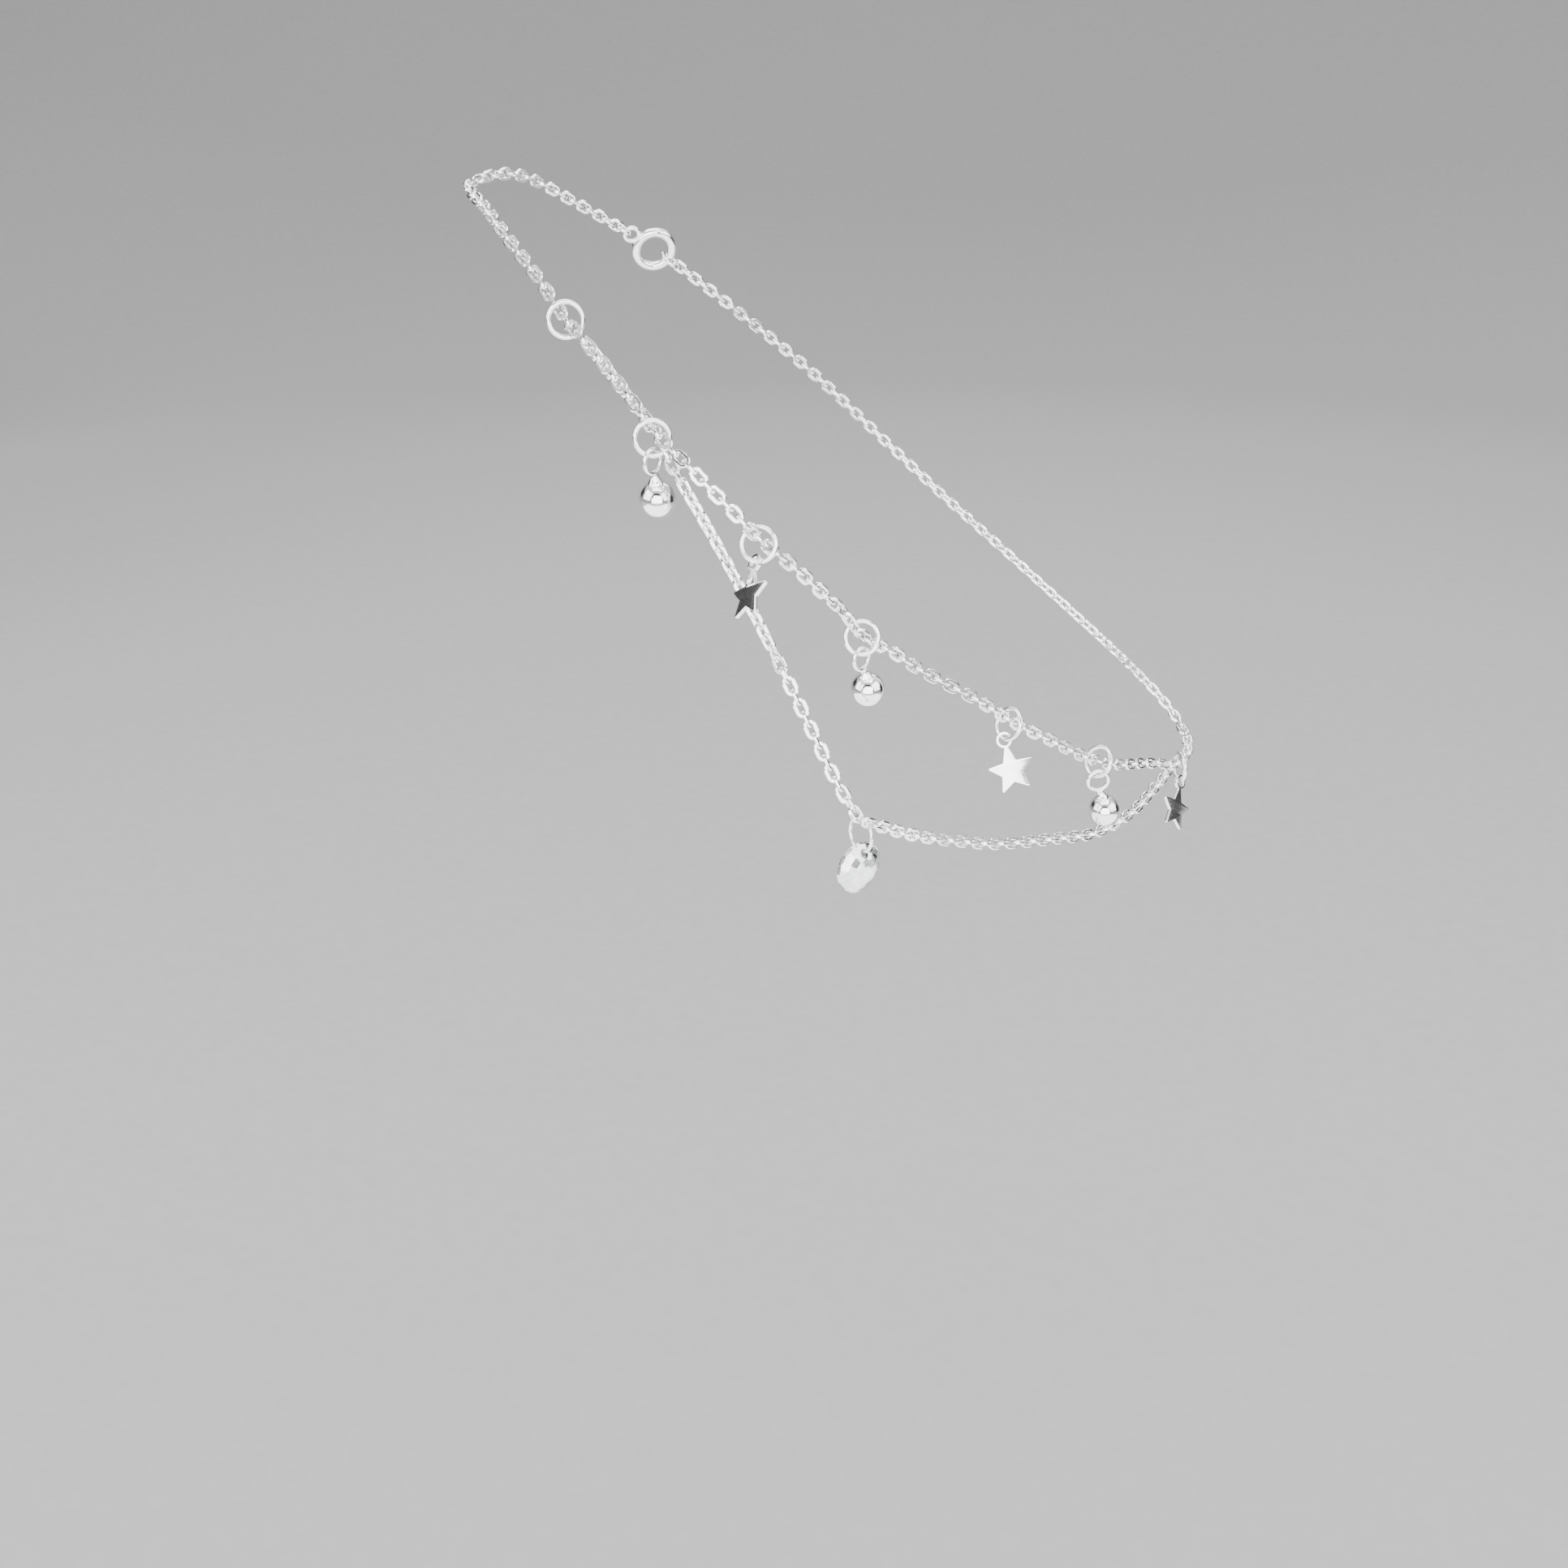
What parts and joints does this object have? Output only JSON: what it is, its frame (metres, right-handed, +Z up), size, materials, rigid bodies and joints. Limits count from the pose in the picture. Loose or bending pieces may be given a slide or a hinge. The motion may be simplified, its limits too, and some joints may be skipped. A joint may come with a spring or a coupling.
{
  "type": "chain anklet with drops",
  "caption": "Fine silver cable-chain anklet, held open round an ankle, with a lower chain swag, ball and star drops on jump rings and a faceted crystal.",
  "frame": {"origin": "middle of the chain loop, where the ankle goes through", "axes": "+Z up, -Y towards the viewer of the worn anklet, +X towards the toes"},
  "size_m": [0.0846, 0.0661, 0.075],
  "materials": {
    "silver": "bright polished silver",
    "crystal": "clear cut crystal, polished facets"
  },
  "bodies": {
    "root": {"main_chain": "silver", "second_chain": "silver", "lower_chain_left": "silver", "lower_chain_right": "silver", "jump_ring_1": "silver", "jump_ring_2": "silver", "jump_ring_3": "silver", "jump_ring_4": "silver", "jump_ring_5": "silver", "jump_ring_6": "silver", "jump_ring_7": "silver", "ball_drop_1": "silver", "ball_drop_2": "silver", "ball_drop_3": "silver", "star_drop_1": "silver", "star_drop_2": "silver", "star_drop_3": "silver", "crystal_ring": "silver", "crystal_stone": "crystal", "clasp": "silver"}
  },
  "joints": []
}
